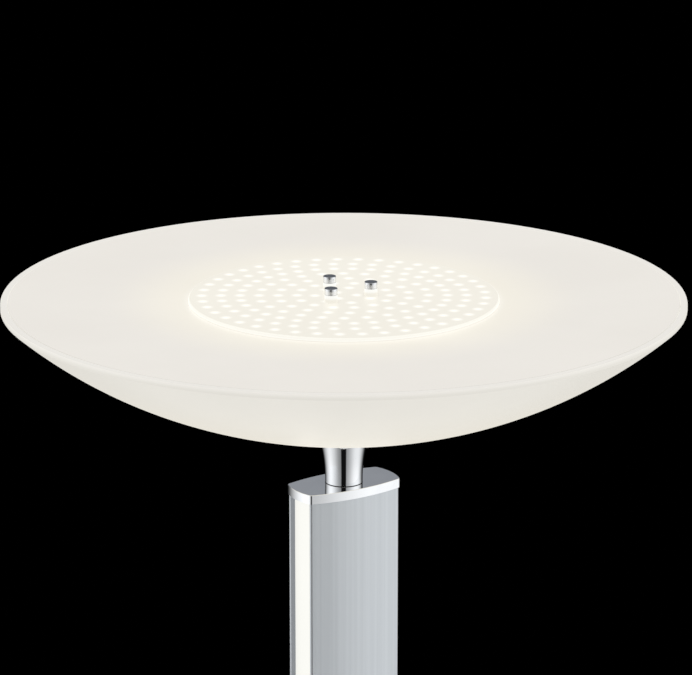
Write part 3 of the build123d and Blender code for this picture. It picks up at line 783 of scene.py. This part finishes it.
spun_base = Finish("spun_base", Metallic=1.0)
tree, place = spun_base.tree, spun_base.place
around = calc(tree, "COSINE", place.angle)
spinning = use_group(tree, brush_lines, Across=place.radius, Depth=place.height, Along=around, Breaks=2.0)
colour = mix_colours(tree, stretch(tree, spinning["Line"]), base_dark, base_light)
wear = use_group(tree, worn_edges)["Edge"]
colour = mix_colours(tree, wear, colour, brushed_edge)
dust = use_group(tree, settled_dust)["Dust"]
spun_base.link("Base Color", mix_colours(tree, dust, colour, dust_colour))
dullness = calc(tree, "ADD", spinning["Band"], dust)
spun_base.link("Roughness", soft_step(tree, dullness, 0.3, 0.9, low=0.36, high=0.54))
spun_base.bump(spinning["Line"], 0.006 * millimetre)
dress(spun_base, "base_cover")

# %% [markdown]
# ## Push buttons and their bezels
# Both are turned from bar and polished on the lathe, which leaves fine circles about the button's own
# axis. That axis lies along Y at the button's height, so the radius is measured from there.

# %% Turned buttons


def make_turned(name, height):
    """Fine circles about a line along Y at the given height."""
    finish = Finish(name, Metallic=1.0)
    tree, place = finish.tree, finish.place
    above = calc(tree, "SUBTRACT", place.height, height)
    off_axis = distance(tree, place.x, above)
    circles = use_group(tree, brush_lines, Across=off_axis, Depth=place.y, Along=0.0, Lines=5000.0)
    marks = use_group(tree, finger_marks, Amount=0.7)
    colour = mix_colours(tree, circles["Line"], chrome_marked, chrome_clean)
    finish.link("Base Color", mix_colours(tree, marks["Dullness"], colour, chrome_marked))
    finish.link("Roughness", soft_step(tree, marks["Dullness"], 0.0, 1.0, low=0.3, high=0.42))
    finish.bump(circles["Line"], 0.004 * millimetre)
    return finish


for button in ("dish", "strip"):
    low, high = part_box(f"{button}_bezel")
    turned_finish = make_turned(f"turned_{button}_button", (low.z + high.z) / 2)
    dress(turned_finish, f"{button}_bezel", f"{button}_button")

# %% [markdown]
# ## Metals inside the lamp
# Nobody sees these once the lamp is closed, but they are there when it is taken apart: mill finished
# aluminium with the streaks of rolling, zinc with its cloudy plating, and spring steel. One function
# makes them all from the brush lines. Lines that seldom break give streaks, and lines that often break
# give clouds.

# %% Inner metals
inner_lines = 900.0
duller_by = 0.15


def make_inner_metal(name, light, dark, roughness, breaks):
    """A metal in bands of two tones, with lines that break so many times to the metre."""
    finish = Finish(name, Metallic=1.0)
    tree, place = finish.tree, finish.place
    streaks = use_group(
        tree, brush_lines, Across=place.x, Depth=place.height, Along=place.y, Lines=inner_lines, Breaks=breaks
    )
    colour = mix_colours(tree, stretch(tree, streaks["Band"]), dark, light)
    wear = use_group(tree, worn_edges)["Edge"]
    finish.link("Base Color", mix_colours(tree, wear, colour, brushed_edge))
    finish.link("Roughness", stretch(tree, streaks["Line"], low=roughness, high=roughness + duller_by))
    finish.bump(streaks["Line"], 0.01 * millimetre)
    print(name, "is as rough as", roughness, "to", roughness + duller_by)
    return finish


mill_aluminium = make_inner_metal(
    "mill_aluminium", light=(0.74, 0.75, 0.76, 1), dark=(0.62, 0.63, 0.65, 1), roughness=0.3, breaks=30.0
)
zinc_steel = make_inner_metal(
    "zinc_steel", light=(0.66, 0.67, 0.70, 1), dark=(0.52, 0.53, 0.55, 1), roughness=0.22, breaks=700.0
)
spring_steel = make_inner_metal(
    "spring_steel", light=(0.46, 0.47, 0.49, 1), dark=(0.34, 0.35, 0.37, 1), roughness=0.25, breaks=400.0
)

# %% [markdown]
# ## Plastics, rubber, boards and wires
# These share the moulded grain and differ in colour, gloss and grain. One function makes them all, with
# the relief of the grain in millimetres. The cast weight under the base is here too, because what shows
# of it is its rough coat of primer.

# %% Moulded finishes
rubbed_edge = (0.6, 0.6, 0.58, 1.0)
gloss_change = 0.06


def make_moulded(name, light, dark, roughness, grain, relief):
    """A skin of two tones with a fine grain."""
    finish = Finish(name)
    tree = finish.tree
    skin = use_group(tree, moulded_grain, Grain_Scale=grain)
    colour = mix_colours(tree, stretch(tree, skin["Tone"]), dark, light)
    wear = use_group(tree, worn_edges, Wear=0.25)["Edge"]
    finish.link("Base Color", mix_colours(tree, wear, colour, rubbed_edge))
    duller, glossier = roughness + gloss_change, roughness - gloss_change
    finish.link("Roughness", stretch(tree, skin["Grain"], low=glossier, high=duller))
    finish.bump(skin["Grain"], relief * millimetre)
    print(name, "has a relief of", relief, "mm")
    return finish


rubber = make_moulded(
    "rubber", light=(0.035, 0.035, 0.036, 1), dark=(0.022, 0.022, 0.023, 1),
    roughness=0.75, grain=1100.0, relief=0.04,
)
black_plastic = make_moulded(
    "black_plastic", light=(0.04, 0.04, 0.041, 1), dark=(0.03, 0.03, 0.031, 1),
    roughness=0.45, grain=1800.0, relief=0.02,
)
primed_iron = make_moulded(
    "primed_iron", light=(0.11, 0.11, 0.115, 1), dark=(0.07, 0.07, 0.074, 1),
    roughness=0.6, grain=500.0, relief=0.08,
)

# %% [markdown]
# The electrical pieces are glossier: the case of the driver, the lacquered boards and the wires.

# %% Electrical finishes
driver_case = make_moulded(
    "driver_case", light=(0.78, 0.78, 0.76, 1), dark=(0.7, 0.7, 0.68, 1),
    roughness=0.4, grain=1500.0, relief=0.02,
)
white_board = make_moulded(
    "white_board", light=(0.86, 0.86, 0.83, 1), dark=(0.8, 0.8, 0.77, 1),
    roughness=0.3, grain=900.0, relief=0.01,
)
green_board = make_moulded(
    "green_board", light=(0.035, 0.16, 0.07, 1), dark=(0.02, 0.11, 0.045, 1),
    roughness=0.28, grain=900.0, relief=0.01,
)
wire_sheath = make_moulded(
    "wire_sheath", light=(0.72, 0.72, 0.70, 1), dark=(0.62, 0.62, 0.60, 1),
    roughness=0.5, grain=1300.0, relief=0.02,
)

# %% [markdown]
# ## Phosphor
# White LEDs are blue underneath, with yellow phosphor on top. Its grains differ a little in colour and in how
# brightly they glow.

# %% Phosphor
phosphor_deep = (0.85, 0.68, 0.22, 1)
phosphor_pale = (0.92, 0.8, 0.4, 1)
phosphor_glow = (0.9, 0.84, 0.66, 1)
phosphor_glow_bright = (1, 0.95, 0.8, 1)

led_phosphor = Finish("led_phosphor", Emission_Strength=1.0, Roughness=0.3)
tree = led_phosphor.tree
grains = use_group(tree, moulded_grain, Grain_Scale=3000.0)
led_phosphor.link("Base Color", mix_colours(tree, grains["Grain"], phosphor_deep, phosphor_pale))
led_phosphor.link("Emission Color", mix_colours(tree, grains["Tone"], phosphor_glow, phosphor_glow_bright))
print(led_phosphor.material.name, "is ready")

# %% [markdown]
# ## Handing out the finishes
# The record of the construction model gives each node a slot, which says what it is made of. Dressing the
# inner pieces one by one would be a long list, so each of their slots gets one finish, and every node of
# the slot takes it. The slots of the pieces that are dressed already aren't on this list.

# %% Hand out by slot
slot_finishes = {
    "mill_aluminium": mill_aluminium,
    "zinc_steel": zinc_steel,
    "spring_steel": spring_steel,
    "cast_iron": primed_iron,
    "rubber": rubber,
    "black_plastic": black_plastic,
    "driver_case": driver_case,
    "white_board": white_board,
    "green_board": green_board,
    "led_phosphor": led_phosphor,
    "wire_sheath": wire_sheath,
}
for subpart in frame["record"]["subparts"]:
    if subpart["material_slot"] in slot_finishes:
        dress(slot_finishes[subpart["material_slot"]], subpart["node"])

# %% [markdown]
# ## Return springs
# Behind each button sits a small coil spring. The construction model holds its space as a plain sleeve,
# so the spring is wound here: a helix of wire, drawn as a curve with a round section and turned into a
# mesh. Its ends lie flat, as on a ground spring.

# %% Wind a spring
spring_turns = 5.5
points_per_turn = 24
flat_share = 0.12
wire_radius = 0.45 * millimetre


def wire_curve(name, low, high):
    """A coil along Y that fills the space between two corners, as a curve."""
    coil_radius = (high.x - low.x) / 2 - wire_radius
    middle_height = (low.z + high.z) / 2
    free_length = high.y - low.y - 2 * wire_radius
    steps = int(spring_turns * points_per_turn)
    curve = bpy.data.curves.new(name, "CURVE")
    curve.dimensions = "3D"
    curve.bevel_depth = wire_radius
    curve.bevel_resolution = 3
    curve.use_fill_caps = True
    line = curve.splines.new("POLY")
    line.points.add(steps)
    for step, knot in enumerate(line.points):
        turn = 2 * pi * step / points_per_turn
        wound = (step / steps - flat_share) / (1 - 2 * flat_share)
        forward = low.y + wire_radius + free_length * min(max(wound, 0), 1)
        knot.co = (coil_radius * cos(turn), forward, middle_height + coil_radius * sin(turn), 1)
    return curve


def wind_spring(name, low, high):
    """The coil as a smooth mesh in the scene."""
    drawn = bpy.data.objects.new(name + "_line", wire_curve(name, low, high))
    bpy.context.scene.collection.objects.link(drawn)
    bpy.context.view_layer.update()
    mesh = bpy.data.meshes.new_from_object(drawn)
    bpy.data.objects.remove(drawn)
    mesh.name = name
    for face in mesh.polygons:
        face.use_smooth = True
    mesh.materials.append(spring_steel.material)
    spring = bpy.data.objects.new(name, mesh)
    bpy.context.scene.collection.objects.link(spring)
    return spring


print("springs have", spring_turns, "turns")

# %% [markdown]
# A spring stays with the lamp. It takes the place of its sleeve, which is hidden, and gets a mesh of its own.

# %% Fit the springs
for button in ("dish", "strip"):
    sleeve = f"{button}_spring"
    low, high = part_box(sleeve)
    spring = wind_spring(f"{button}_coil", low, high)
    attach(spring, "lamp")
    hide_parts(sleeve)
    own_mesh(spring)

# %% [markdown]
# ## Camera
# The picture is taken from a little above the rim, off the corner of the column, with a long lens. The camera
# is placed from the middle of the rim: back along the line of sight, up, and tipped down to match.

# %% Camera
image_width = 692
focal_length_pixels = 3527.0
view_turn = radians(-32.0)
view_tip = radians(15.98)
camera_back = 2.2358
camera_rise = 0.6114
camera_side = 0.0014

camera_data = bpy.data.cameras.new("photo_camera")
camera_data.sensor_width = 36.0
camera_data.lens = focal_length_pixels * camera_data.sensor_width / image_width
camera = bpy.data.objects.new("photo_camera", camera_data)
bpy.context.scene.collection.objects.link(camera)
to_camera = Vector((sin(view_turn), -cos(view_turn), 0))
to_right = Vector((cos(view_turn), sin(view_turn), 0))
upwards = Vector((0, 0, 1))
camera.location = upwards * (rim_top + camera_rise) + to_camera * camera_back + to_right * camera_side
camera.rotation_euler = (pi / 2 - view_tip, 0, view_turn)
bpy.context.scene.camera = camera
print("camera at", [round(value, 3) for value in camera.location], "lens", round(camera_data.lens, 1))

# %% [markdown]
# ## Floor
# A plain pale floor carries the lamp. It is a large disc, so that the studio has no corners.

# %% Floor
floor_radius = 1.65
floor_dark = (0.84, 0.83, 0.81, 1)
floor_light = (0.88, 0.87, 0.85, 1)

floor_mesh = bpy.data.meshes.new("studio_floor")
disc = bmesh.new()
bmesh.ops.create_circle(disc, cap_ends=True, radius=floor_radius, segments=160)
disc.to_mesh(floor_mesh)
disc.free()
floor = bpy.data.objects.new("studio_floor", floor_mesh)
bpy.context.scene.collection.objects.link(floor)
floor_finish = Finish("studio_floor", Roughness=0.6)
tree = floor_finish.tree
floor_tone = use_group(tree, moulded_grain, Grain_Scale=40.0)["Tone"]
floor_finish.link("Base Color", mix_colours(tree, floor_tone, floor_dark, floor_light))
floor_mesh.materials.append(floor_finish.material)
print("floor radius", floor_radius, "m")

# %% [markdown]
# ## Light tent
# Chrome looks best in a light tent: bright cloth to the left and the right, a dark slit where the camera
# looks in, and a dim cloth behind. The cloth could be made of large lamps, but the world shader can paint
# it all at once and without noise. All it needs is where a ray goes: its turn about the lamp, counted
# from the camera's side, and its tilt above the horizon.

# %% Directions in the tent
world = bpy.data.worlds.new("light_tent")
bpy.context.scene.world = world
world.use_nodes = True
tree = world.node_tree
direction = tree.nodes.new("ShaderNodeTexCoord").outputs["Generated"]
rightward = vector_calc(tree, "DOT_PRODUCT", direction, to_right)["Value"]
frontward = vector_calc(tree, "DOT_PRODUCT", direction, to_camera)["Value"]
upward = vector_calc(tree, "DOT_PRODUCT", direction, upwards)["Value"]
turn = calc(tree, "ARCTAN2", rightward, frontward)
tilt = calc(tree, "ARCSINE", upward)
print("the tent opens towards", [round(value, 2) for value in to_camera])

# %% [markdown]
# Each side cloth opens next to the slit, gets brighter towards its peak and closes again behind the lamp.
# Both fade out towards the ceiling and, a little, towards the floor.

# %% Side cloths


def side_cloth(start, full, peak, fade, end, low, high):
    """Cloth from start to end, in degrees about the lamp. Its level rises from low to high at the peak."""
    opening = soft_step(tree, turn, radians(start), radians(full))
    closing = soft_step(tree, turn, radians(end), radians(fade))
    level = soft_step(tree, turn, radians(start), radians(peak), low, high)
    return calc(tree, "MULTIPLY", calc(tree, "MULTIPLY", opening, closing), level)


right_cloth = side_cloth(start=10, full=17, peak=78, fade=88, end=150, low=0.40, high=1.13)
left_cloth = side_cloth(start=-13, full=-20, peak=-90, fade=-84, end=-160, low=0.28, high=1.20)
upper_fade = soft_step(tree, tilt, radians(62), radians(30))
lower_fade = soft_step(tree, tilt, radians(-36), radians(-14), low=0.8)
height_fade = calc(tree, "MULTIPLY", upper_fade, lower_fade)
side_level = calc(tree, "MULTIPLY", calc(tree, "ADD", right_cloth, left_cloth), height_fade)
print("two side cloths are up")

# %% [markdown]
# The cloth behind the lamp hangs from a rail and ends above the floor. It is grey with a touch of blue,
# and it is what the flat tops mirror. A pale ceiling does the same for someone who looks down from above.

# %% Cloth behind the lamp and ceiling
back_brightness = 0.296
ceiling_brightness = 0.55

behind = soft_step(tree, calc(tree, "ABSOLUTE", turn), radians(158), radians(170))
above_hem = soft_step(tree, tilt, radians(2), radians(9))
below_rail = soft_step(tree, tilt, radians(55), radians(40))
back_cloth = calc(tree, "MULTIPLY", behind, calc(tree, "MULTIPLY", above_hem, below_rail))
back_level = calc(tree, "MULTIPLY", back_cloth, back_brightness)
ceiling_level = soft_step(tree, tilt, radians(44), radians(68), low=0.0, high=ceiling_brightness)
print("cloth behind at", back_brightness, "and ceiling at", ceiling_brightness)

# %% [markdown]
# Now the levels are added up, with a trace of light for the gaps. Rays straight from the camera see plain
# black, so the tent lights the lamp but stays out of the picture.

# %% Light the tent
white_cloth = (0.98, 0.99, 1.0, 1.0)
grey_cloth = (0.933, 0.977, 1.061, 1.0)
gap_brightness = 0.006

level = calc(tree, "ADD", side_level, back_level)
level = calc(tree, "ADD", level, ceiling_level)
level = calc(tree, "ADD", level, gap_brightness)
from_camera = tree.nodes.new("ShaderNodeLightPath").outputs["Is Camera Ray"]
unseen = calc(tree, "SUBTRACT", 1.0, from_camera)
background = tree.nodes["Background"]
put(tree, background.inputs["Strength"], calc(tree, "MULTIPLY", level, unseen))
put(tree, background.inputs["Color"], mix_colours(tree, back_cloth, white_cloth, grey_cloth))
print("light tent has", len(tree.nodes), "nodes")

# %% [markdown]
# ## Overhead light
# A soft lamp overhead lifts the floor and the dish. It is large, so its shadows are soft. It is neither seen
# directly nor mirrored in the metal.

# %% Overhead light
overhead_size = 2.4
overhead_power = 82.0
overhead_height = 4.2

overhead_data = bpy.data.lights.new("overhead_light", "AREA")
overhead_data.shape = "DISK"
overhead_data.size = overhead_size
overhead_data.energy = overhead_power
overhead = bpy.data.objects.new("overhead_light", overhead_data)
overhead.location = (0, 0, overhead_height)
overhead.visible_camera = False
overhead.visible_glossy = False
bpy.context.scene.collection.objects.link(overhead)
print("overhead light of", overhead_power, "W")

# %% [markdown]
# ## Colours on the screen
# The glow colours above were given as they should look on the screen, so the picture uses the plain Standard
# view, which shows them unchanged.

# %% View
bpy.context.scene.view_settings.view_transform = "Standard"
print("view:", bpy.context.scene.view_settings.view_transform)
